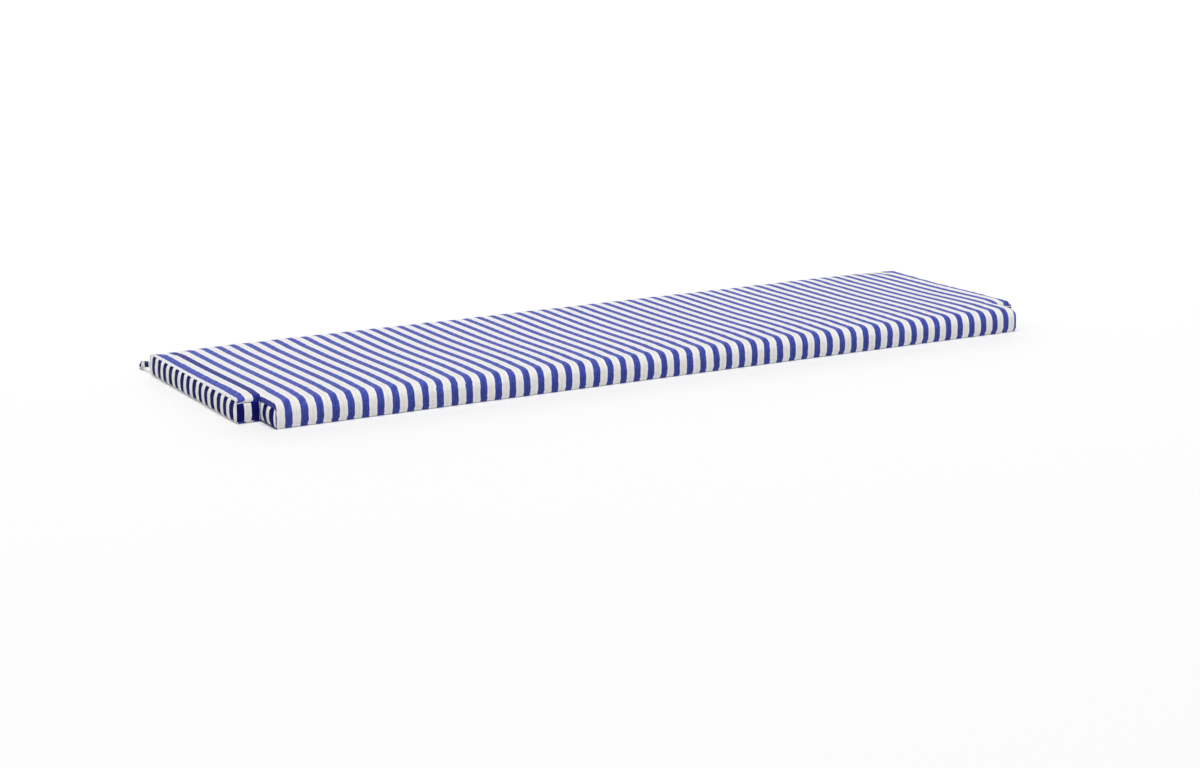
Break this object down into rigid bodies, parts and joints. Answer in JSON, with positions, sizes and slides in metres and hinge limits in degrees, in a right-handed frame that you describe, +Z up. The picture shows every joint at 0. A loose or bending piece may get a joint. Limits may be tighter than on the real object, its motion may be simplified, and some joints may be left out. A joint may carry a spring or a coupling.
{
  "type": "bench cushion",
  "caption": "Thin boxed bench cushion in blue and white striped canvas, with cut front corners and flat ties at its back corners.",
  "frame": {"origin": "middle of the cushion's flat underside, on the surface that it lies on", "axes": "+X along the cushion to the right as seen from the front, +Y from the front edge to the back, +Z up"},
  "size_m": [1.5084, 0.5299, 0.043],
  "materials": {
    "striped_canvas": "matt woven canvas, blue and white stripes",
    "tie_canvas": "matt woven canvas, blue and white stripes across"
  },
  "bodies": {
    "root": {"cushion": "striped_canvas", "tie_left_outer": "tie_canvas", "tie_left_inner": "tie_canvas", "tie_right_outer": "tie_canvas", "tie_right_inner": "tie_canvas"}
  },
  "joints": []
}
